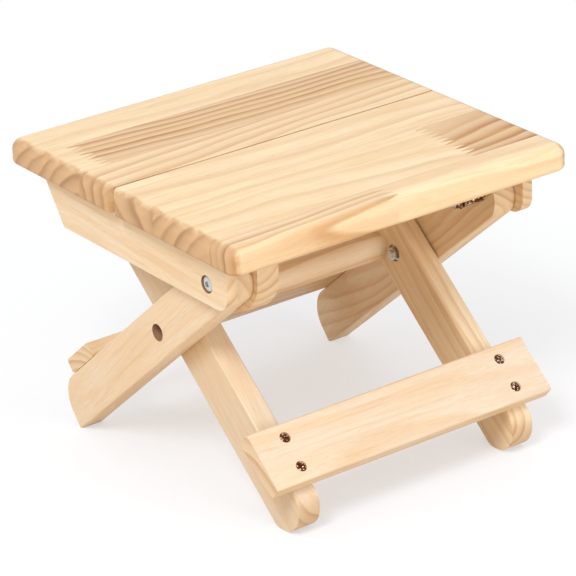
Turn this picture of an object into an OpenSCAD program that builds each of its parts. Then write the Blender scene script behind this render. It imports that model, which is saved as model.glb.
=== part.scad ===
// Folding pine stool: X runs along the seat boards, -Y is the front, Z is up.
// The origin is on the floor under the middle of the outline seen from above.

/* [Seat] */
// Length of the seat boards, along the grain
seat_l = 287; // [240:1:340]
// Depth of the front seat board
front_board_d = 143; // [110:1:160]
// Depth of the back seat board
back_board_d = 127.5; // [110:1:150]
// Width of the seam between the two boards
seam = 0.8; // [0.4:0.1:3]
// Thickness of the seat boards
seat_t = 19.5; // [16:0.5:26]
// Radius of the rounded top edges
seat_top_r = 8.5; // [3:0.5:9]
// Radius of the rounded bottom edges
seat_bottom_r = 4; // [0.6:0.2:6]
// Radius of the seat corners seen from above
seat_corner_r = 9; // [2:0.5:14]
// Radius of the board edges that meet at the seam
seam_edge_r = 1.6; // [0.4:0.1:3]

// Height of the top of the seat above the floor
seat_h = 220.979; // [205:1:260]
// How far the seat reaches past the outer legs at each end
seat_over = 21.5; // [15:0.5:39]

/* [Side rails] */
// Thickness of a side rail
rail_t = 8.5; // [8:0.5:16]
// Depth of a side rail under the seat
rail_d = 37.5; // [32:0.5:46]
// Least depth of rail below the middle of the top bolt
rail_edge = 9; // [8:0.5:14]
// Distance from the top bolt to the front end of the rail
rail_front = 23; // [20:0.5:32]
// Length of a side rail along its top edge
rail_l = 222; // [190:1:235]
// Radius of the lower front corner of the rail
rail_front_r = 12; // [6:0.5:16]
// Slant of the back end of the rail, from upright
rail_slant = 34; // [10:1:40]

/* [Outer legs] */
// Thickness of all four legs
leg_t = 18; // [14:0.5:24]
// Width of an outer leg
outer_leg_w = 36; // [30:0.5:42]
// Distance from the crossing to the top bolt
outer_top = 100; // [97:0.5:106]
// Radius of the rounded upper corner of the outer foot
outer_foot_r = 22; // [8:0.5:24]
// Length of the small flat that the outer foot stands on
foot_flat = 1.5; // [0.8:0.1:4]

/* [Inner legs] */
// Width of an inner leg
inner_leg_w = 38.5; // [30:0.5:42]
// Distance from the crossing to the middle of the upper round end
inner_top = 60; // [54:0.5:61]
// Radius of the eased long edges of the legs
leg_edge_r = 1.4; // [0.6:0.2:3]
// Angle of all the legs above the floor
leg_angle = 40.3; // [38:0.1:43]

/* [Crossing] */
// Place of the crossing bolts, from the middle of the seat
pivot_y = -10.5; // [-16:0.5:-4]
// Height of the crossing bolts above the floor
pivot_z = 114; // [111:0.5:117]

/* [Stretchers] */
// How far the front stretcher ends inside the outer faces of the outer legs
front_str_in = 2; // [0:0.5:22]
// Width of the front stretcher
front_str_w = 45; // [36:0.5:50]
// Thickness of the front stretcher
front_str_t = 12.5; // [9:0.5:15]
// Distance from the crossing to the upper edge of the front stretcher
front_str_s = 102; // [90:1:106]
// Width of the back stretcher
back_str_w = 37; // [30:0.5:44]
// Thickness of the back stretcher
back_str_t = 11; // [9:0.5:14]
// Distance from the crossing to the upper edge of the back stretcher
back_str_s = 96; // [84:1:104]
// Radius of the eased edges of the stretchers
board_edge_r = 2; // [1:0.5:4]

/* [Dowel rail] */
// Diameter of the round rail between the inner legs
dowel_d = 20.5; // [16:0.5:22]
// Distance of its middle behind the crossing bolts
dowel_back = 19; // [18.5:0.5:22]
// Diameter of the tenons on its ends
tenon_d = 8; // [6:0.5:9]
// Length of the tenons on its ends
tenon_l = 10; // [6:0.5:14]

/* [Rest batten and inner block] */
// Width of the batten that the inner legs rest under
batten_w = 26; // [20:0.5:40]
// Radius of the rounded inner block
block_r = 30; // [26:0.5:32]
// Distance of the middle of the block behind the top bolt
block_back = 10.5; // [6:0.5:14]
// Distance of the block's screw head below the seat
block_screw_up = 28; // [22:0.5:34]
// Distance of the block's screw behind the middle of the block
block_screw_back = 12.5; // [9:0.5:14]
// Distance of the outer screws from the ends of the batten
batten_inset = 24; // [12:1:40]
// Distance of the inner screws from the middle of the batten
batten_inner = 30; // [15:1:50]
// Thickness of the inner block
block_t = 17.5; // [12:0.5:17.5]

/* [Hardware] */
// Diameter of the bolt shanks
bolt_d = 6; // [5:0.5:8]
// Diameter of the bolt heads
head_d = 10.5; // [9.5:0.5:13]
// Height of the bolt heads
head_h = 3.6; // [3:0.2:5]
// Size of the hexagon key recess, across its corners
key_d = 4.5; // [3:0.5:6]
// Depth of the hexagon key recess
key_h = 1.6; // [1:0.2:2.4]
// Diameter of the counterbores
bore_d = 12.6; // [12.4:0.2:15]
// Depth of the counterbore in a rail
rail_bore = 4.6; // [4.2:0.2:6]
// Depth of the counterbore in an outer leg
leg_bore = 10; // [5:0.5:11]
// Diameter of the nut flanges
flange_d = 11.4; // [10:0.2:12]
// Thickness of the nut flanges
flange_t = 1.6; // [1:0.2:2.4]
// Width of the nuts across the flats
nut_w = 9; // [8:0.5:10]
// Height of a nut above its flange
nut_h = 4; // [3:0.2:6]
// Diameter of the sleeve that carries the right top nut
sleeve_d = 9.6; // [8:0.2:14]
// Diameter of the washers between the legs
washer_d = 16; // [13:0.5:22]
// Thickness of the washers between the legs
washer_t = 0.7; // [0.5:0.1:1.2]
// Diameter of the wood screw shanks
screw_d = 4; // [3:0.2:5]
// Diameter of the wood screw heads
screw_head_d = 8; // [6:0.2:9]
// How far the screws go into the last piece that they hold
screw_bite = 12; // [8:0.5:15]
// Length of the screws into the ends of the dowel rail
dowel_screw_l = 29; // [22:1:40]
// Depth of the screw heads below the face
screw_sink = 1.6; // [1:0.2:4]
// Diameter of the wooden dowels that hold the rails
pin_d = 5; // [4:0.2:6]

/* [Clearances] */
// Gap between pieces that move past each other
move_gap = 0.3; // [0.3:0.05:0.6]
// Radial running fit of the bolts in the legs
run_fit = 0.08; // [0.02:0.01:0.1]
// Radial fit of the fixed pins, screws and tenons
still_fit = 0.05; // [0.01:0.01:0.2]

/* [Hidden] */
$fn = 64;
eps = 0.01;
big = 600;

seat_d = front_board_d + seam + back_board_d;
cos_a = cos(leg_angle);
sin_a = sin(leg_angle);
// The front stretcher reaches past the seat, so the whole is moved back by half of that
reach = -pivot_y + (front_str_s + front_str_w - board_edge_r) * cos_a
    + (inner_leg_w / 2 + front_str_t - board_edge_r) * sin_a + board_edge_r;
shift_y = max(0, reach - seat_d / 2) / 2;
cross_y = pivot_y + shift_y;
front_edge = shift_y - seat_d / 2;
seam_y = front_edge + front_board_d;

// Planes across the stool, from the outside in, for the right-hand side
frame_half = seat_l / 2 - seat_over;
front_str_l = 2 * (frame_half - front_str_in);
outer_in = frame_half - leg_t;
leg_gap = washer_t + move_gap;
inner_out = outer_in - leg_gap;
inner_in = inner_out - leg_t;
rail_in = frame_half + 2 * move_gap;
rail_out = rail_in + rail_t;
block_out = outer_in - move_gap;
block_in = block_out - block_t;

// The top bolt lies on the middle line of the outer legs
bolt_y = cross_y - outer_top * cos_a;
bolt_z = pivot_z + outer_top * sin_a;
seat_bottom = seat_h - seat_t;
// The rails go deeper where a higher seat needs it, so that they always hold the bolts
bolt_drop = seat_bottom - bolt_z;
rail_depth = max(rail_d, bolt_drop + rail_edge);
end_back = 4;

// The upper end of the inner legs stops just below the batten
rest_y = cross_y + inner_top * cos_a;
rest_z = pivot_z + inner_top * sin_a + inner_leg_w / 2 + move_gap;

// Both feet go a little below the floor and are cut off level with it
outer_foot_s = (pivot_z - outer_leg_w / 2 * cos_a) / sin_a + foot_flat * cos_a;
inner_foot_c = (pivot_z - inner_leg_w / 2 + 0.25) / sin_a;

front_top = front_str_s;
back_top = back_str_s;
leg_mid_in = (inner_in + inner_out) / 2;
leg_mid_out = (outer_in + frame_half) / 2;
screw_inset = 11;
front_screw_l = 30;
back_screw_l = 28;
batten_h = seat_bottom - rest_z;
batten_screw_l = batten_h - screw_sink + screw_bite;
block_screw_l = block_screw_up + screw_bite;
pin_l = 24;
pin_ys = [rail_front * -0.45, rail_l * 0.38, rail_l * 0.74];
dowel_s = dowel_back * cos_a;
dowel_n = -dowel_back * sin_a;
rail_pin_x = (rail_in + rail_out) / 2;
nut_len = flange_t + nut_h;
bolt_tip = 1.5;

pine = [0.93, 0.80, 0.58];
pine_light = [0.96, 0.85, 0.65];
pine_end = [0.87, 0.72, 0.50];
zinc = [0.78, 0.79, 0.80];
dark_steel = [0.30, 0.24, 0.20];

// A rectangle with round corners, from squares and circles so that the arcs stay true
module round_rect(w, h, r) {
    square([w - 2 * r, h], center = true);
    square([w, h - 2 * r], center = true);
    for (x = [-1, 1], y = [-1, 1])
        translate([x * (w / 2 - r), y * (h / 2 - r)]) circle(r, $fn = 32);
}

// Draws a side outline (first axis Y, second axis Z) as a plate from x0 to x0 + t
module side_plate(x0, t) {
    translate([x0, 0, 0]) rotate([90, 0, 90]) linear_extrude(t) children();
}

// A round bar along X from x0 to x1
module bar_x(d, x0, x1) {
    translate([min(x0, x1), 0, 0]) rotate([0, 90, 0]) cylinder(d = d, h = abs(x1 - x0));
}

// Frames of the two leg pairs: Y runs along the leg and Z out of its upper narrow face
module outer_frame() {
    translate([0, cross_y, pivot_z]) rotate([-leg_angle, 0, 0]) children();
}
module inner_frame() {
    translate([0, cross_y, pivot_z]) rotate([leg_angle, 0, 0]) children();
}
module at_top_bolt() {
    translate([0, bolt_y, bolt_z]) children();
}
module above_floor() {
    difference() {
        children();
        translate([0, 0, -big / 2]) cube(big, center = true);
    }
}

// A countersunk screw, head up at z = 0, and the hole that it goes in
module wood_screw(len) {
    rotate_extrude() polygon([[0, 0], [screw_head_d / 2, 0], [screw_head_d / 2, -0.5],
        [screw_d / 2, -2.6], [screw_d / 2, 4 - len], [0, -len]]);
}
module cross_slot() {
    for (a = [0, 90])
        rotate([0, 0, a]) translate([0, 0, -0.5]) cube([screw_head_d * 0.62, 1.1, 1.2 + eps], center = true);
}
module screw_hole(len, sink) {
    translate([0, 0, -len]) cylinder(d = screw_d + 2 * still_fit, h = len + sink);
    translate([0, 0, -2.6]) cylinder(d = screw_head_d + 2 * still_fit, h = 2.6 + sink + eps);
}
module sunk_screw(len) {
    difference() {
        wood_screw(len);
        cross_slot();
    }
}

// A rectangle from the origin with its own radius at each corner
module corner_rect(w, h, low_left, low_right, top_right, top_left) {
    marks = [[low_left, low_left, low_left, 180], [w - low_right, low_right, low_right, 270],
        [w - top_right, h - top_right, top_right, 0], [top_left, h - top_left, top_left, 90]];
    difference() {
        square([w, h]);
        for (m = marks)
            translate([m[0], m[1]]) rotate(m[3]) square(m[2] + 1);
    }
    for (m = marks)
        translate([m[0], m[1]]) circle(m[2], $fn = 32);
}

// Half of a seat board's edge, as the plan's corner turns it: round below and above
module corner_section(low, high) {
    r = seat_corner_r;
    intersection() {
        square([r, seat_t]);
        union() {
            difference() {
                square([r, seat_t]);
                translate([r - low, low]) rotate(270) square(low + 1);
                translate([r - high, seat_t - high]) square(high + 1);
            }
            translate([r - low, low]) circle(low, $fn = 32);
            translate([r - high, seat_t - high]) circle(high, $fn = 32);
        }
    }
}

// One seat board: a long section and a cross section, with turned corners along the outer edges
module seat_slab(y0, d, seam_low, seam_high) {
    low = seat_bottom_r;
    high = seat_top_r;
    joint = seam_edge_r;
    r = seat_corner_r;
    marks = [[r, r, 180, seam_low], [seat_l - r, r, 270, seam_low],
        [seat_l - r, d - r, 0, seam_high], [r, d - r, 90, seam_high]];
    translate([-seat_l / 2, y0, seat_bottom]) {
        difference() {
            intersection() {
                rotate([90, 0, 90]) linear_extrude(seat_l) corner_rect(d, seat_t, seam_low ? joint : low,
                    seam_high ? joint : low, seam_high ? joint : high, seam_low ? joint : high);
                translate([0, d, 0]) rotate([90, 0, 0]) linear_extrude(d)
                    corner_rect(seat_l, seat_t, low, low, high, high);
            }
            for (m = marks)
                if (!m[3])
                    translate([m[0], m[1], -1]) rotate(m[2]) cube([r + 1, r + 1, seat_t + 2]);
            for (m = marks)
                if (m[3])
                    translate([m[0], m[1], -1]) rotate(m[2]) difference() {
                        cube([r + 1, r + 1, seat_t + 2]);
                        cylinder(r = r, h = seat_t + 2, $fn = 32);
                    }
        }
        for (m = marks)
            if (!m[3])
                translate([m[0], m[1], 0]) rotate(m[2]) rotate_extrude(angle = 90, $fn = 32)
                    corner_section(low, high);
    }
}
module rail_dowel_holes() {
    for (x = [-1, 1], y = pin_ys)
        translate([x * rail_pin_x, bolt_y + y, seat_bottom - pin_l / 2 - still_fit])
            cylinder(d = pin_d + 2 * still_fit, h = pin_l + 2 * still_fit, $fn = 24);
}
batten_xs = [batten_inset - outer_in, -batten_inner, batten_inner, outer_in - batten_inset];
module batten_screw_places() {
    for (x = batten_xs)
        translate([x, rest_y, rest_z + screw_sink]) rotate([180, 0, 0]) children();
}
module front_seat_board() {
    color(pine_light) difference() {
        seat_slab(front_edge, front_board_d, false, true);
        rail_dowel_holes();
        block_screw_places() screw_hole(block_screw_l, screw_sink);
    }
}
module back_seat_board() {
    color(pine) difference() {
        seat_slab(seam_y + seam, back_board_d, true, false);
        rail_dowel_holes();
        batten_screw_places() screw_hole(batten_screw_l, screw_sink);
    }
}

// A side rail: rounded lower front corner, slanting back end
module rail_outline() {
    z0 = seat_bottom - rail_depth;
    y0 = bolt_y - rail_front;
    difference() {
        union() {
            translate([y0, z0 + rail_front_r]) square([rail_l, rail_depth - rail_front_r]);
            translate([y0 + rail_front_r, z0]) square([rail_l - rail_front_r, rail_depth]);
            translate([y0 + rail_front_r, z0 + rail_front_r]) circle(rail_front_r);
        }
        translate([y0 + rail_l, seat_bottom]) rotate(-rail_slant) translate([0, -2 * rail_depth])
            square([rail_depth, 3 * rail_depth]);
    }
}
module side_rail(side) {
    color(pine_light) difference() {
        mirror([side < 0 ? 1 : 0, 0, 0]) side_plate(rail_in, rail_t) rail_outline();
        at_top_bolt() {
            bar_x(bolt_d + 2 * still_fit, side * (rail_in - 1), side * (rail_out + 1));
            bar_x(bore_d, side * (rail_out - rail_bore), side * (rail_out + 1));
        }
        rail_dowel_holes();
    }
}

// The batten under the back board, which the upper ends of the inner legs meet
module rest_batten() {
    h = batten_h;
    color(pine_end) difference() {
        translate([0, rest_y, rest_z + h / 2]) rotate([90, 0, 90])
            linear_extrude(2 * outer_in, center = true) difference() {
                round_rect(batten_w, h, 1.5);
                translate([0, h / 2]) square([batten_w + 1, eps], center = true);
            }
        batten_screw_places() screw_hole(batten_screw_l, screw_sink);
    }
}

// The rounded block inside the left outer leg
module block_screw_places() {
    translate([-(block_in + block_out) / 2, bolt_y + block_back + block_screw_back,
        seat_bottom - block_screw_up]) rotate([180, 0, 0]) children();
}
module inner_block() {
    color(pine_end) difference() {
        side_plate(-block_out, block_t) intersection() {
            union() {
                translate([bolt_y + block_back, bolt_z]) circle(block_r, $fn = 96);
                translate([bolt_y + block_back - block_r, bolt_z])
                    square([2 * block_r, seat_bottom - bolt_z]);
            }
            translate([-big / 2, seat_bottom - big]) square(big);
        }
        at_top_bolt() bar_x(bolt_d + 2 * still_fit, -block_in + 1, -block_out - 1);
        block_screw_places() screw_hole(block_screw_l, bolt_drop + block_r);
    }
}

// Leg blank: eased long edges, ends cut to an outline along Y
module leg_blank(side, x_in, w) {
    intersection() {
        side_plate(side < 0 ? -x_in - leg_t : x_in, leg_t) children();
        translate([side * (x_in + leg_t / 2), 0, 0]) rotate([90, 0, 0])
            linear_extrude(big, center = true) round_rect(leg_t, w, leg_edge_r);
    }
}
module outer_leg(side) {
    foot_len = outer_top - end_back + outer_foot_s;
    color(pine) above_floor() outer_frame() difference() {
        leg_blank(side, outer_in, outer_leg_w) intersection() {
            union() {
                translate([end_back - outer_top, 0]) circle(d = outer_leg_w);
                translate([end_back - outer_top, -outer_leg_w / 2]) {
                    square([foot_len - outer_foot_r, outer_leg_w]);
                    square([foot_len, outer_leg_w - outer_foot_r]);
                }
                translate([outer_foot_s - outer_foot_r, outer_leg_w / 2 - outer_foot_r])
                    circle(outer_foot_r);
            }
            square([big, outer_leg_w], center = true);
        }
        bar_x(bolt_d + 2 * still_fit, side * (outer_in - 1), side * (frame_half + 1));
        bar_x(bore_d, side * (frame_half - leg_bore), side * (frame_half + 1));
        translate([0, -outer_top, 0])
            bar_x(bolt_d + 2 * run_fit, side * (outer_in - 1), side * (frame_half + 1));
        back_screw_places() screw_hole(back_screw_l, screw_sink);
    }
}
module inner_leg(side) {
    nut_bore = flange_t + nut_h * 0.4;
    color(pine_light) above_floor() inner_frame() difference() {
        leg_blank(side, inner_in, inner_leg_w) union() {
            translate([inner_top, 0]) circle(d = inner_leg_w);
            translate([-inner_foot_c, -inner_leg_w / 2]) square([inner_top + inner_foot_c, inner_leg_w]);
            translate([-inner_foot_c, 0]) circle(d = inner_leg_w);
        }
        bar_x(bolt_d + 2 * run_fit, side * (inner_in - 1), side * (inner_out + 1));
        bar_x(bore_d, side * (inner_in - 1), side * (inner_in + nut_bore));
        translate([0, dowel_s, dowel_n]) {
            bar_x(tenon_d + 2 * still_fit, side * (inner_in - 1), side * (inner_in + tenon_l + still_fit));
            bar_x(screw_d + 2 * still_fit, side * inner_in, side * (inner_out + 1));
            bar_x(screw_head_d + 2 * still_fit, side * (inner_out - screw_sink - 2.6), side * (inner_out + 1));
        }
        front_screw_places() screw_hole(front_screw_l, screw_sink);
    }
}

// Stretchers: flat boards screwed on the narrow faces of the legs
module board_x(l, w, t, r) {
    rotate([90, 0, 90]) linear_extrude(l, center = true) round_rect(w, t, r);
}
module front_screw_places() {
    for (x = [-1, 1], s = [front_top + screw_inset, front_top + front_str_w - screw_inset])
        translate([x * leg_mid_in, -s, inner_leg_w / 2 + front_str_t - screw_sink]) children();
}
module back_screw_places() {
    for (x = [-1, 1], s = [back_top + screw_inset * 0.8, back_top + back_str_w - screw_inset * 0.8])
        translate([x * leg_mid_out, s, outer_leg_w / 2 + back_str_t - screw_sink]) children();
}
module front_stretcher() {
    color(pine_light) inner_frame() difference() {
        translate([0, -front_top - front_str_w / 2, inner_leg_w / 2 + front_str_t / 2])
            board_x(front_str_l, front_str_w, front_str_t, board_edge_r);
        front_screw_places() screw_hole(front_screw_l, screw_sink);
    }
}
module back_stretcher() {
    color(pine) outer_frame() difference() {
        translate([0, back_top + back_str_w / 2, outer_leg_w / 2 + back_str_t / 2])
            board_x(2 * frame_half, back_str_w, back_str_t, board_edge_r);
        back_screw_places() screw_hole(back_screw_l, screw_sink);
    }
}

// The round rail between the inner legs, with a tenon and a screw hole at each end
module dowel_rail() {
    tip = inner_in + tenon_l;
    color(pine) inner_frame() translate([0, dowel_s, dowel_n]) difference() {
        union() {
            bar_x(dowel_d, -inner_in, inner_in);
            bar_x(tenon_d, -tip, tip);
        }
        for (x = [-1, 1])
            bar_x(screw_d + 2 * still_fit, x * (inner_out - screw_sink - dowel_screw_l - 1), x * (tip + 1));
    }
}
module dowel_screws() {
    color(dark_steel) inner_frame() translate([0, dowel_s, dowel_n])
        for (x = [-1, 1])
            translate([x * (inner_out - screw_sink), 0, 0]) rotate([0, x * 90, 0]) sunk_screw(dowel_screw_l);
}

// Bolts lie along X with the head outwards
module bolt(side, x_head, x_tip) {
    difference() {
        union() {
            bar_x(bolt_d, side * x_head, side * x_tip);
            bar_x(head_d, side * x_head, side * (x_head + head_h));
            translate([side * (x_head + head_h), 0, 0]) scale([0.16, 1, 1]) sphere(d = head_d * 0.94);
        }
        translate([side * (x_head + head_h + 1), 0, 0]) rotate([0, 90, 0])
            cylinder(d = key_d, h = 2 * (key_h + 1), center = true, $fn = 6);
    }
}
module flange_nut(side, x_face) {
    mirror([side < 0 ? 1 : 0, 0, 0]) translate([x_face, 0, 0]) rotate([0, -90, 0]) difference() {
        union() {
            cylinder(d = flange_d, h = flange_t);
            cylinder(d = nut_w / cos(30), h = flange_t + nut_h, $fn = 6);
        }
        translate([0, 0, -1]) cylinder(d = bolt_d + 2 * still_fit, h = nut_len + 2);
    }
}
top_head = rail_out - rail_bore;
top_face = block_in;
pivot_head = frame_half - leg_bore;
pivot_face = inner_in + flange_t + nut_h * 0.4 - move_gap;
module top_bolt(side) {
    color(zinc) at_top_bolt() bolt(side, top_head, top_face - nut_len - bolt_tip);
}
module top_nuts() {
    color(zinc) at_top_bolt() for (side = [-1, 1]) flange_nut(side, top_face);
}
// The steel sleeve that takes the place of the block on the right
module bolt_spacer() {
    color(zinc) at_top_bolt() difference() {
        bar_x(sleeve_d, block_in, block_out);
        bar_x(bolt_d + 2 * still_fit, block_in - 1, block_out + 1);
    }
}
module pivot_bolt(side) {
    color(zinc) translate([0, cross_y, pivot_z]) bolt(side, pivot_head, pivot_face - nut_len - bolt_tip);
}
module pivot_nuts() {
    color(zinc) translate([0, cross_y, pivot_z]) for (side = [-1, 1]) flange_nut(side, pivot_face);
}
module leg_washers() {
    color(zinc) translate([0, cross_y, pivot_z]) for (side = [-1, 1]) difference() {
        bar_x(washer_d, side * outer_in, side * (outer_in - washer_t));
        bar_x(bolt_d + 2 * still_fit, side * (outer_in + 1), side * (outer_in - washer_t - 1));
    }
}
module front_screws() {
    color(dark_steel) inner_frame() front_screw_places() sunk_screw(front_screw_l - 1);
}
module back_screws() {
    color(dark_steel) outer_frame() back_screw_places() sunk_screw(back_screw_l - 1);
}
module batten_screws() {
    color(dark_steel) {
        batten_screw_places() sunk_screw(batten_screw_l - 1);
        block_screw_places() sunk_screw(block_screw_l - 1);
    }
}
module rail_dowels() {
    color(pine_end) for (x = [-1, 1], y = pin_ys)
        translate([x * rail_pin_x, bolt_y + y, seat_bottom - pin_l / 2])
            cylinder(d = pin_d, h = pin_l, $fn = 24);
}

front_seat_board();
back_seat_board();
side_rail(-1);  // left_rail
side_rail(1);  // right_rail
rest_batten();
inner_block();
outer_leg(-1);  // left_outer_leg
outer_leg(1);  // right_outer_leg
inner_leg(-1);  // left_inner_leg
inner_leg(1);  // right_inner_leg
front_stretcher();
back_stretcher();
dowel_rail();
top_bolt(-1);  // left_top_bolt
top_bolt(1);  // right_top_bolt
top_nuts();
bolt_spacer();
pivot_bolt(-1);  // left_pivot_bolt
pivot_bolt(1);  // right_pivot_bolt
pivot_nuts();
leg_washers();
front_screws();
back_screws();
batten_screws();
rail_dowels();
dowel_screws();
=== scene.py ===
import math
import bpy
from mathutils import Euler, Matrix, Vector


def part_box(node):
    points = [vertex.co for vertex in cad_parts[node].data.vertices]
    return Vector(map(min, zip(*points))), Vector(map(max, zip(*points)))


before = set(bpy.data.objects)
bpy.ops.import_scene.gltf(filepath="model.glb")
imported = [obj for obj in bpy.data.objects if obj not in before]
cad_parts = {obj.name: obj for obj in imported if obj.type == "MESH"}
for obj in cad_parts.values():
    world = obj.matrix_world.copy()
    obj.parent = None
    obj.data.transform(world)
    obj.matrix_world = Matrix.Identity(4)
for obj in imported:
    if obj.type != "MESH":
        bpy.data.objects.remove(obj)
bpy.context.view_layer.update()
MM = 0.001


def linear(code):
    """An sRGB hex colour as linear red, green, blue and alpha."""
    values = [int(code[i:i + 2], 16) / 255 for i in (1, 3, 5)]
    return tuple(v / 12.92 if v <= 0.04045 else ((v + 0.055) / 1.055) ** 2.4 for v in values) + (1.0,)


def grey(value):
    return (value, value, value, 1.0)


def add(tree, kind, inputs=None, stops=None, blend="LINEAR", **settings):
    """Adds one node and returns its outputs. A socket given as an input is linked, anything else
    is its value. The stops of a colour ramp are (place, colour), and blend goes between them."""
    node = tree.nodes.new(kind)
    for key, value in settings.items():
        setattr(node, key, value)
    for key, value in (inputs or {}).items():
        if isinstance(value, bpy.types.NodeSocket):
            tree.links.new(value, node.inputs[key])
        else:
            node.inputs[key].default_value = value
    if stops:
        ramp = node.color_ramp
        ramp.interpolation = blend
        while len(ramp.elements) < len(stops):
            ramp.elements.new(1.0)
        for element, (place, colour) in zip(ramp.elements, stops):
            element.position = place
            element.color = colour
    return node.outputs


# A Mix node has several sockets of each name, so those for colours go by number
A, B, RESULT = 6, 7, 2


def new_material(name):
    material = bpy.data.materials.new(name)
    material.use_nodes = True
    material.node_tree.nodes.clear()
    return material, material.node_tree


def dress(node, material):
    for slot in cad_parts[node].material_slots:
        slot.material = material


def middle(node):
    low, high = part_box(node)
    return (Vector(low) + Vector(high)) / 2


def half_depth(node):
    low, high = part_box(node)
    return (high[1] - low[1]) / 2


# The axes of the bolts, and how each kind of board lies. A turn brings a board's length to X, its
# width to Y and its thickness to Z, so that one kind of wood serves them all.
TOP_BOLT = middle("left_top_bolt")
CROSSING = middle("left_pivot_bolt")
LEG_ANGLE = math.atan2(TOP_BOLT.z - CROSSING.z, CROSSING.y - TOP_BOLT.y)
ALONG_X = Euler((0, 0, 0))
ALONG_Y = Euler((0, 0, -math.pi / 2))
OUTER_LEG = Euler((LEG_ANGLE, 0, -math.pi / 2))
INNER_LEG = Euler((-LEG_ANGLE, 0, -math.pi / 2))
OUTER_BOARD = Euler((LEG_ANGLE, 0, 0))
INNER_BOARD = Euler((-LEG_ANGLE, 0, 0))

# The figure of one piece of pine: its values in their order, each with its lowest and highest
FIGURE = {
    "across": (-200, 200),      # place of the pith over the board's width, in mm
    "below": (-200, 200),       # place of the pith over its thickness, in mm
    "dark": (0, 1),             # share of heartwood
    "ring": (2, 18),            # width of a ring, in mm
    "drift": (-0.25, 0.25),     # how fast the rings widen or close along the board
    "strength": (0, 1),         # how clearly the latewood shows
}

# The colour ramps of glued boards reach over this half width and half length, in mm
HALF_WIDTH = 80
HALF_LENGTH = 200
# Finger joints: half the distance between two fingers, and their length, in mm
FINGER_HALF = 2.8
FINGER_LENGTH = 11

# Cells of the noise that bends the grain, in mm along it and across it, and how far the bends reach
# from one side to the other, in mm
BENDS = (181.8, 66.67)
BEND_REACH = 24
# Patterns that follow the bent grain. Fibres are coarser than real ones, so that they show.
PATTERNS = {
    # cells in mm, offset for each unit of the piece's seed, own offset, detail, roughness
    "fibre": ((18.18, 0.6667), (3, 0, 0), (0, 0, 0), 3.0, 0.6),
    "streak": ((125, 3.333), (5, 0, 0), (0, 1, 0), 2.0, 0.5),
    "cloud": ((111.1, 22.22), (1, 0, 1), (0, 3, 0), 2.0, 0.5),
    "duct": ((9.091, 0.7692), (7, 0, 0), (0, 0, 2), 1.0, 0.5),
}
# Cells of the blotches on end grain, in mm
BLOTCHES = 5.882

# How dark one ring is from its inner to its outer edge, as (place, darkness)
RING = [(0.0, 0.0), (0.3, 0.05), (0.62, 0.4), (0.84, 1.0), (0.93, 0.55), (1.0, 0.0)]

# Colours of the wood. An end colour is a pair: between the rings and on them.
PALE = "#F5E2C4"
LATE = "#D9A669"
HEART = "#BB7A38"
CLEAN_ENDS = ("#EBD2AF", "#C69B6E")
FOOT_ENDS = ("#D8BC97", "#AE7F50")
SEAT_COLOURS = {"early": "#F8DFB8", "late": "#CB9253", "heart": "#AF6B23", "ends": ("#D0A678", "#8C6038")}
CLOUD_TONE = "#EAC48F"
STREAK_TONE = "#DFB47C"
RESIN = "#B07B45"
RIM_BLOTCH = "#B8824A"
# Dirt and painted shade in the gap between the seat boards
GAP_DIRT_AND_SHADE = "#7A4B22"
# Painted shade on the walls of the bolt holes
HOLE_SHADE = "#7C3D10"

# The sunk holes of the bolts: their radius, and how far round it the painted shade on their walls fades, in
# mm
HOLE_RADIUS = 6.3
HOLE_FADE = (-0.05, 0.1)
# The dirt and painted shade in the gap between the seat boards start at this share of half a board's
# width, about 0.8 mm before the edge
GAP_START = 0.988


def cells(size):
    """The scale of a noise whose cells are this large, in mm, along the grain and across it."""
    along, across = (1 / (v * MM) for v in size)
    return (along, across, across)


def shares(piece, names):
    """The values of a piece as shares of their ranges, which a colour ramp can hold."""
    values = dict(zip(FIGURE, piece))
    ranges = [FIGURE[name] for name in names]
    return [(values[name] - low) / (high - low) for name, (low, high) in zip(names, ranges)] + [1.0]


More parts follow.
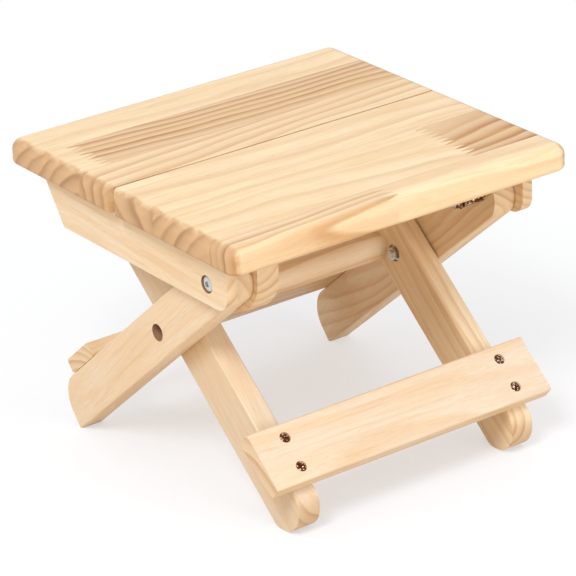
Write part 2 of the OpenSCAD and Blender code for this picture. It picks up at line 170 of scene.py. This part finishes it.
def glued_figure(tree, board, strips):
    """The figure of a board glued up from strips, and each strip from two pieces that meet in a
    finger joint. A strip is (its front edge and its joint in mm, piece before it, piece after it)."""
    edges, joints, before, after = zip(*strips)
    spot = add(tree, "ShaderNodeSeparateXYZ", {"Vector": board})
    level = add(tree, "ShaderNodeMapRange", {"Value": spot["Y"], "From Min": -HALF_WIDTH * MM,
                "From Max": HALF_WIDTH * MM})["Result"]
    starts = [(edge + HALF_WIDTH) / (2 * HALF_WIDTH) for edge in edges]
    places = [grey((joint + HALF_LENGTH) / (2 * HALF_LENGTH)) for joint in joints]
    joint = add(tree, "ShaderNodeValToRGB", {"Fac": level}, list(zip(starts, places)), "CONSTANT")["Color"]
    joint = add(tree, "ShaderNodeMath", {0: joint, 1: 2 * HALF_LENGTH * MM, 2: -HALF_LENGTH * MM},
                operation="MULTIPLY_ADD")["Value"]
    finger = add(tree, "ShaderNodeMath", {0: spot["Y"], 1: FINGER_HALF * MM}, operation="PINGPONG")["Value"]
    finger = add(tree, "ShaderNodeMath", {0: finger, 1: FINGER_LENGTH / FINGER_HALF, 2: joint},
                 operation="MULTIPLY_ADD")["Value"]
    past = add(tree, "ShaderNodeMath", {0: spot["X"], 1: finger}, operation="GREATER_THAN")["Value"]

    # A ramp carries three values at a time, as shares of their ranges in red, green and blue
    figure = {}
    names = list(FIGURE)
    for trio in (names[:3], names[3:]):
        sides = []
        for pieces in (before, after):
            stops = [(start, shares(piece, trio)) for start, piece in zip(starts, pieces)]
            sides.append(add(tree, "ShaderNodeValToRGB", {"Fac": level}, stops, "CONSTANT")["Color"])
        mixed = add(tree, "ShaderNodeMix", {"Factor": past, A: sides[0], B: sides[1]},
                    data_type="RGBA")[RESULT]
        channels = add(tree, "ShaderNodeSeparateColor", {"Color": mixed})
        for name, channel in zip(trio, ("Red", "Green", "Blue")):
            low, high = FIGURE[name]
            figure[name] = add(tree, "ShaderNodeMath", {0: channels[channel], 1: high - low, 2: low},
                               operation="MULTIPLY_ADD")["Value"]
    return figure


def latewood(tree, bent, figure):
    """How dark the rings make each point, from 0 to 1. They are cylinders round the pith, which
    runs along X."""
    axes = add(tree, "ShaderNodeSeparateXYZ", {"Vector": bent})
    along, across, through = [
        add(tree, "ShaderNodeMath", {0: axes[name], 1: 1 / MM}, operation="MULTIPLY")["Value"]
        for name in ("X", "Y", "Z")]
    across = add(tree, "ShaderNodeMath", {0: across, 1: figure["across"]}, operation="SUBTRACT")["Value"]
    through = add(tree, "ShaderNodeMath", {0: through, 1: figure["below"]}, operation="SUBTRACT")["Value"]
    from_pith = add(tree, "ShaderNodeCombineXYZ", {"X": across, "Y": through})["Vector"]
    radius = add(tree, "ShaderNodeVectorMath", {0: from_pith}, operation="LENGTH")["Value"]
    radius = add(tree, "ShaderNodeMath", {0: along, 1: figure["drift"], 2: radius},
                 operation="MULTIPLY_ADD")["Value"]
    rings = add(tree, "ShaderNodeMath", {0: radius, 1: figure["ring"]}, operation="DIVIDE")["Value"]
    count = add(tree, "ShaderNodeMath", {0: rings}, operation="FLOOR")["Value"]
    part = add(tree, "ShaderNodeMath", {0: rings}, operation="FRACT")["Value"]
    profile = [(place, grey(value)) for place, value in RING]
    line = add(tree, "ShaderNodeValToRGB", {"Fac": part}, profile, "B_SPLINE")["Color"]
    # Each year's ring has a strength of its own
    year = add(tree, "ShaderNodeTexWhiteNoise", {"W": count}, noise_dimensions="1D")["Value"]
    year = add(tree, "ShaderNodeMapRange", {"Value": year, "To Min": 0.2})["Result"]
    return add(tree, "ShaderNodeMath", {0: line, 1: year}, operation="MULTIPLY")["Value"]


# Pine under a satin lacquer: wide pale earlywood and narrow orange latewood, which show as lines
# along the faces and as arcs on end grain. The lacquer adds a soft, low sheen over the fibres.
def pine(name, turn, centre, seed, piece=None, strips=None, seam=None, hole=None, early=PALE,
         late=LATE, heart=HEART, ends=CLEAN_ENDS):
    material, tree = new_material(name)
    place = add(tree, "ShaderNodeTexCoord")
    shift = -(turn.to_matrix() @ Vector(centre))
    board = add(tree, "ShaderNodeMapping", {"Vector": place["Object"], "Location": shift,
                "Rotation": tuple(turn)})["Vector"]
    facing = add(tree, "ShaderNodeMapping", {"Vector": place["Normal"], "Rotation": tuple(turn)},
                 vector_type="NORMAL")["Vector"]

    # Slow bends of the grain, nearly 3 times as long as wide
    slow = add(tree, "ShaderNodeMapping", {"Vector": board, "Location": (seed, seed * 2, 0),
               "Scale": cells(BENDS)})["Vector"]
    bend = add(tree, "ShaderNodeTexNoise", {"Vector": slow, "Scale": 1.0, "Detail": 2.5,
               "Roughness": 0.42})["Color"]
    bend = add(tree, "ShaderNodeVectorMath", {0: bend, 1: (0.5, 0.5, 0.5)}, operation="SUBTRACT")["Vector"]
    bend = add(tree, "ShaderNodeVectorMath", {0: bend, "Scale": BEND_REACH * MM}, operation="SCALE")["Vector"]
    bent = add(tree, "ShaderNodeVectorMath", {0: board, 1: bend}, operation="ADD")["Vector"]
    figure = glued_figure(tree, board, strips) if strips else dict(zip(FIGURE, piece))
    line = latewood(tree, bent, figure)

    # Fibres, streaks, slow clouds of tone, and resin ducts, which are short dark dashes
    noise = {}
    for pattern, (size, for_seed, offset, detail, roughness) in PATTERNS.items():
        spread = add(tree, "ShaderNodeMapping", {"Vector": bent, "Scale": cells(size),
                     "Location": seed * Vector(for_seed) + Vector(offset)})["Vector"]
        noise[pattern] = add(tree, "ShaderNodeTexNoise", {"Vector": spread, "Scale": 1.0,
                             "Detail": detail, "Roughness": roughness})["Fac"]
    cloud = add(tree, "ShaderNodeMapRange", {"Value": noise["cloud"], "From Min": 0.35, "From Max": 0.7,
                "To Max": 0.42})["Result"]
    streak = add(tree, "ShaderNodeMapRange", {"Value": noise["streak"], "From Min": 0.5,
                 "From Max": 0.75, "To Max": 0.4})["Result"]
    duct = add(tree, "ShaderNodeMapRange", {"Value": noise["duct"], "From Min": 0.74, "From Max": 0.8,
               "To Max": 0.4})["Result"]
    rings = add(tree, "ShaderNodeMath", {0: line, 1: figure["strength"]}, operation="MULTIPLY")["Value"]
    # Heartwood tints the earlywood too, and the rings most
    dark = add(tree, "ShaderNodeMath", {0: line, 1: 0.9, 2: 0.36}, operation="MULTIPLY_ADD")["Value"]
    dark = add(tree, "ShaderNodeMath", {0: dark, 1: figure["dark"]}, operation="MULTIPLY")["Value"]
    # Colours laid over the earlywood, each as (how much of it shows, colour)
    layers = [(rings, linear(late)), (dark, linear(heart)), (cloud, linear(CLOUD_TONE)),
              (streak, linear(STREAK_TONE)), (duct, linear(RESIN))]

    # End grain soaks up lacquer, so it is darker with stronger rings, and blotchy where an edge
    # rounds into it
    end = add(tree, "ShaderNodeSeparateXYZ", {"Vector": facing})["X"]
    slant = add(tree, "ShaderNodeMath", {0: end}, operation="ABSOLUTE")["Value"]
    blotch = add(tree, "ShaderNodeTexNoise", {"Vector": board, "Scale": 1 / (BLOTCHES * MM),
                 "Detail": 3.0})["Fac"]
    end = add(tree, "ShaderNodeMath", {0: blotch, 1: 0.3, 2: slant}, operation="MULTIPLY_ADD")["Value"]
    end = add(tree, "ShaderNodeMapRange", {"Value": end, "From Min": 0.3, "From Max": 0.95, "To Max": 0.82},
              interpolation_type="SMOOTHSTEP")["Result"]
    face = add(tree, "ShaderNodeMix", {"Factor": line, A: linear(ends[0]), B: linear(ends[1])},
               data_type="RGBA")[RESULT]
    layers.append((end, face))

    if seam:
        # The seat's rounded end edges take the lacquer in blotches
        rim = add(tree, "ShaderNodeValToRGB", {"Fac": slant},
                  [(0.1, grey(0.0)), (0.45, grey(1.0)), (0.95, grey(0.0))])["Color"]
        spots = add(tree, "ShaderNodeMapRange", {"Value": blotch, "From Min": 0.35, "From Max": 0.68,
                    "To Min": 0.1, "To Max": 0.6})["Result"]
        rim = add(tree, "ShaderNodeMath", {0: rim, 1: spots}, operation="MULTIPLY")["Value"]
        layers.append((rim, linear(RIM_BLOTCH)))
        # Dirt and painted shade in the narrow gap between the boards
        width = add(tree, "ShaderNodeSeparateXYZ", {"Vector": board})["Y"]
        gap = add(tree, "ShaderNodeMapRange", {"Value": width, "From Min": seam * GAP_START,
                  "From Max": seam, "To Max": 0.8})["Result"]
        layers.append((gap, linear(GAP_DIRT_AND_SHADE)))

    if hole is not None:
        # A hole drilled along X: its wall is painted dark brown, as the shade that falls deep in the hole
        spot = add(tree, "ShaderNodeSeparateXYZ", {"Vector": place["Object"]})
        spot = add(tree, "ShaderNodeCombineXYZ", {"X": spot["Y"], "Y": spot["Z"]})["Vector"]
        away = add(tree, "ShaderNodeVectorMath", {0: spot, 1: (hole.y, hole.z, 0)},
                   operation="DISTANCE")["Value"]
        fade = [(HOLE_RADIUS + step) * MM for step in HOLE_FADE]
        inside = add(tree, "ShaderNodeMapRange", {"Value": away, "From Min": fade[0],
                     "From Max": fade[1], "To Min": 0.95, "To Max": 0.0})["Result"]
        layers.append((inside, linear(HOLE_SHADE)))

    wood = linear(early)
    for amount, colour in layers:
        wood = add(tree, "ShaderNodeMix", {"Factor": amount, A: wood, B: colour}, data_type="RGBA")[RESULT]
    light = add(tree, "ShaderNodeMapRange", {"Value": noise["fibre"], "From Min": 0.25, "From Max": 0.75,
                "To Min": 0.9, "To Max": 1.06})["Result"]
    wood = add(tree, "ShaderNodeVectorMath", {0: wood, "Scale": light}, operation="SCALE")["Vector"]
    rough = add(tree, "ShaderNodeMapRange", {"Value": noise["fibre"], "To Min": 0.42,
                "To Max": 0.6})["Result"]
    height = add(tree, "ShaderNodeMath", {0: noise["fibre"], 1: 0.6, 2: line},
                 operation="MULTIPLY_ADD")["Value"]
    bump = add(tree, "ShaderNodeBump", {"Height": height, "Strength": 0.35, "Distance": 0.06 * MM})["Normal"]
    shader = add(tree, "ShaderNodeBsdfPrincipled", {"Base Color": wood, "Roughness": rough, "Normal": bump,
                 "Coat Weight": 0.12, "Coat Roughness": 0.35})
    add(tree, "ShaderNodeOutputMaterial", {"Surface": shader["BSDF"]})
    return material


# The strips of the seat boards, from the front back. A piece has the values of FIGURE in their order.
front_strips = [
    (-80, -12, (40, -24, 0.4, 7.0, 0.04, 0.8), (-30, -70, 0.0, 12.0, -0.03, 0.35)),
    (-46, 77, (-70, -60, 0.0, 12.0, 0.03, 0.45), (24, -20, 1.0, 9.5, 0.09, 1.0)),
    (20, 200, (110, -60, 0.0, 14.0, -0.03, 0.5), (110, -60, 0.0, 14.0, -0.03, 0.5)),
]
back_strips = [
    (-80, 200, (62, -20, 0.2, 11.0, 0.07, 0.95), (62, -20, 0.2, 11.0, 0.07, 0.95)),
    (-28, -125, (-70, -60, 0.0, 12.0, 0.0, 0.5), (-60, -12, 0.85, 8.5, 0.05, 0.95)),
    (20, 200, (-60, -80, 0.0, 12.0, 0.03, 0.45), (-60, -80, 0.0, 12.0, 0.03, 0.45)),
]
seat_boards = {
    # strips, seed, side of the board where the other board is
    "front": (front_strips, 1.3, 1),
    "back": (back_strips, 4.1, -1),
}
for name, (strips, seed, side) in seat_boards.items():
    node = name + "_seat_board"
    dress(node, pine("lacquered_pine_" + name + "_board", ALONG_X, middle(node), seed, strips=strips,
                     seam=side * half_depth(node), **SEAT_COLOURS))

plain_pieces = {
    # how it lies, figure, seed, colour of the earlywood, bolt whose hole is in it
    "left_rail": (ALONG_Y, (40, 60, 0.0, 11.0, 0.02, 0.3), 2.0, "#F5E5CC", TOP_BOLT),
    "right_rail": (ALONG_Y, (-16, 34, 0.1, 5.0, 0.0, 0.8), 2.8, PALE, TOP_BOLT),
    "rest_batten": (ALONG_X, (25, -30, 0.1, 5.0, 0.0, 0.8), 5.0, PALE, None),
    "inner_block": (ALONG_Y, (16, 34, 0.05, 6.0, 0.0, 0.8), 6.2, PALE, None),
    "left_outer_leg": (OUTER_LEG, (-60, 40, 0.0, 9.0, 0.03, 0.28), 7.1, "#F1DFC6", CROSSING),
    "right_outer_leg": (OUTER_LEG, (-24, 30, 0.15, 6.0, 0.03, 0.7), 8.4, PALE, CROSSING),
    "left_inner_leg": (INNER_LEG, (50, -34, 0.0, 8.0, -0.02, 0.3), 9.5, "#E4D3BB", None),
    "right_inner_leg": (INNER_LEG, (24, 30, 0.3, 7.0, 0.02, 0.3), 10.1, "#FBE9C9", None),
    "front_stretcher": (INNER_BOARD, (-30, -70, 0.0, 11.0, 0.02, 0.42), 11.3, "#E8D8C2", None),
    "back_stretcher": (OUTER_BOARD, (22, -40, 0.1, 6.0, 0.03, 0.8), 12.6, PALE, None),
    "dowel_rail": (INNER_BOARD, (20, -26, 0.05, 6.0, 0.02, 0.7), 13.2, "#FBEBD0", None),
    "rail_dowels": (ALONG_X, (8, 9, 0.0, 3.0, 0.0, 0.8), 15.2, PALE, None),
}
for node, (turn, piece, seed, early, bolt) in plain_pieces.items():
    ends = FOOT_ENDS if turn is INNER_LEG else CLEAN_ENDS
    dress(node, pine("lacquered_pine_" + node, turn, middle(node), seed, piece=piece, hole=bolt,
                     early=early, ends=ends))


# Cells of the noises on steel, in mm
MOTTLE = 1.111
GLINT_SPOTS = 1.613
# The near-white colour of the painted glints
GLINT_COLOUR = "#FFF8EE"


# Plated steel: a metal with a faint mottle in its gloss and its tone. Painted glints show on it as
# near-white spots of 1 to 2 mm, as strong as its last argument says.
def plated_steel(name, colour, gloss, glint=0.0):
    material, tree = new_material(name)
    place = add(tree, "ShaderNodeTexCoord")["Object"]
    mottle = add(tree, "ShaderNodeTexNoise", {"Vector": place, "Scale": 1 / (MOTTLE * MM),
                 "Detail": 3.0})["Fac"]
    rough = add(tree, "ShaderNodeMapRange", {"Value": mottle, "From Min": 0.3, "From Max": 0.7,
                "To Min": gloss[0], "To Max": gloss[1]})["Result"]
    shade = add(tree, "ShaderNodeMapRange", {"Value": mottle, "From Min": 0.3, "From Max": 0.7,
                "To Min": 0.8, "To Max": 1.05})["Result"]
    base = add(tree, "ShaderNodeVectorMath", {0: linear(colour)[:3], "Scale": shade},
               operation="SCALE")["Vector"]
    # Painted glints: near-white spots
    spots = add(tree, "ShaderNodeTexNoise", {"Vector": place, "Scale": 1 / (GLINT_SPOTS * MM),
                "Detail": 1.0})["Fac"]
    spots = add(tree, "ShaderNodeMapRange", {"Value": spots, "From Min": 0.57, "From Max": 0.62,
                "To Max": glint})["Result"]
    base = add(tree, "ShaderNodeMix", {"Factor": spots, A: base, B: linear(GLINT_COLOUR)},
               data_type="RGBA")[RESULT]
    shader = add(tree, "ShaderNodeBsdfPrincipled", {"Base Color": base, "Roughness": rough, "Metallic": 1.0})
    add(tree, "ShaderNodeOutputMaterial", {"Surface": shader["BSDF"]})
    return material


bright_zinc = plated_steel("zinc_plated_steel", "#DBDBDA", (0.24, 0.4))
for node in ("left_top_bolt", "right_top_bolt", "left_pivot_bolt", "right_pivot_bolt", "pivot_nuts",
             "leg_washers"):
    dress(node, bright_zinc)
# Brown steel for the screws. The top nuts and the spacer take it as painted shade, since they sit in shade
# under the seat.
brown_steel_and_shade = plated_steel("brown_steel_and_painted_shade", "#7E4A22", (0.25, 0.45), glint=0.9)
for node in ("top_nuts", "bolt_spacer", "front_screws", "back_screws", "batten_screws", "dowel_screws"):
    dress(node, brown_steel_and_shade)

WHITE = (1.0, 1.0, 1.0, 1.0)
FLOOR_WIDTH = 12
# The shadow is seen at half its depth near the stool and fades out between these distances
SHADOW_SHARE = 0.5
SHADOW_END = (0.15, 0.55)
# How bright the room is to everything but the camera, which sees it white
ROOM_LIGHT = 0.77


# Matt white paper to the camera and in reflections, white but for the shadow. Other light bounces
# off a warm beige, which tints the stool from below.
def floor():
    bpy.ops.mesh.primitive_plane_add(size=FLOOR_WIDTH)
    plane = bpy.context.object
    plane.name = "floor"
    material, tree = new_material("matt_white_floor")
    ray = add(tree, "ShaderNodeLightPath")
    seen = add(tree, "ShaderNodeMath", {0: ray["Is Camera Ray"], 1: ray["Is Glossy Ray"]},
               operation="MAXIMUM")["Value"]
    glow = add(tree, "ShaderNodeEmission", {"Color": WHITE, "Strength": 1.0})["Emission"]
    paper = add(tree, "ShaderNodeBsdfDiffuse", {"Color": linear("#F7FAFF")})["BSDF"]
    spot = add(tree, "ShaderNodeTexCoord")["Object"]
    away = add(tree, "ShaderNodeVectorMath", {0: spot}, operation="LENGTH")["Value"]
    share = add(tree, "ShaderNodeMapRange", {"Value": away, "From Min": SHADOW_END[0],
                "From Max": SHADOW_END[1], "To Min": 1 - SHADOW_SHARE},
                interpolation_type="SMOOTHSTEP")["Result"]
    shown = add(tree, "ShaderNodeMixShader", {0: share, 1: paper, 2: glow})["Shader"]
    bounce = add(tree, "ShaderNodeBsdfDiffuse", {"Color": linear("#DDC6A6")})["BSDF"]
    mixed = add(tree, "ShaderNodeMixShader", {0: seen, 1: bounce, 2: shown})["Shader"]
    add(tree, "ShaderNodeOutputMaterial", {"Surface": mixed})
    plane.data.materials.append(material)


def room():
    world = bpy.data.worlds.new("soft_studio")
    bpy.context.scene.world = world
    world.use_nodes = True
    tree = world.node_tree
    tree.nodes.clear()
    ray = add(tree, "ShaderNodeLightPath")
    strength = add(tree, "ShaderNodeMapRange", {"Value": ray["Is Camera Ray"],
                   "To Min": ROOM_LIGHT})["Result"]
    sky = add(tree, "ShaderNodeBackground", {"Color": WHITE, "Strength": strength})["Background"]
    add(tree, "ShaderNodeOutputWorld", {"Surface": sky})


# The lamps point at the stool, a little above half its height
LAMP_TARGET = Vector((0, 0, 0.12))


def lamp(name, place, size, watts):
    data = bpy.data.lights.new(name, "AREA")
    data.shape = "DISK"
    data.size = size
    data.energy = watts
    thing = bpy.data.objects.new(name, data)
    bpy.context.collection.objects.link(thing)
    thing.location = place
    thing.rotation_euler = (LAMP_TARGET - Vector(place)).to_track_quat("-Z", "Y").to_euler()


# The photo's camera, found from edges and corners measured in the photo: its place in mm, its
# yaw, pitch and roll in degrees, its focal length in pixels, the photo's width in pixels, and the
# sensor's width in mm
CAMERA_PLACE = (-1274.9, -1764.061, 1084.25)
CAMERA_TURNS = (35.75, -24.13, -2.18)
FOCAL_PIXELS = 3365.56
PHOTO_WIDTH = 576
SENSOR_WIDTH = 36


def photo_camera():
    yaw, pitch, roll = (math.radians(angle) for angle in CAMERA_TURNS)
    ahead = Vector((math.sin(yaw) * math.cos(pitch), math.cos(yaw) * math.cos(pitch), math.sin(pitch)))
    level = Vector((math.cos(yaw), -math.sin(yaw), 0))
    steep = level.cross(ahead)
    right = level * math.cos(roll) + steep * math.sin(roll)
    up = steep * math.cos(roll) - level * math.sin(roll)
    data = bpy.data.cameras.new("photo_camera")
    data.sensor_width = SENSOR_WIDTH
    data.lens = FOCAL_PIXELS / PHOTO_WIDTH * SENSOR_WIDTH
    thing = bpy.data.objects.new("photo_camera", data)
    bpy.context.collection.objects.link(thing)
    turned = Matrix((right, up, -ahead)).transposed().to_4x4()
    thing.matrix_world = Matrix.Translation(Vector(CAMERA_PLACE) * MM) @ turned
    bpy.context.scene.camera = thing


floor()
room()
lamp("key_lamp", place=(-1.5, -0.9, 2.0), size=0.9, watts=31)
lamp("front_lamp", place=(0.5, -2.3, 0.6), size=1.2, watts=13)
photo_camera()
bpy.context.scene.view_settings.view_transform = "Standard"
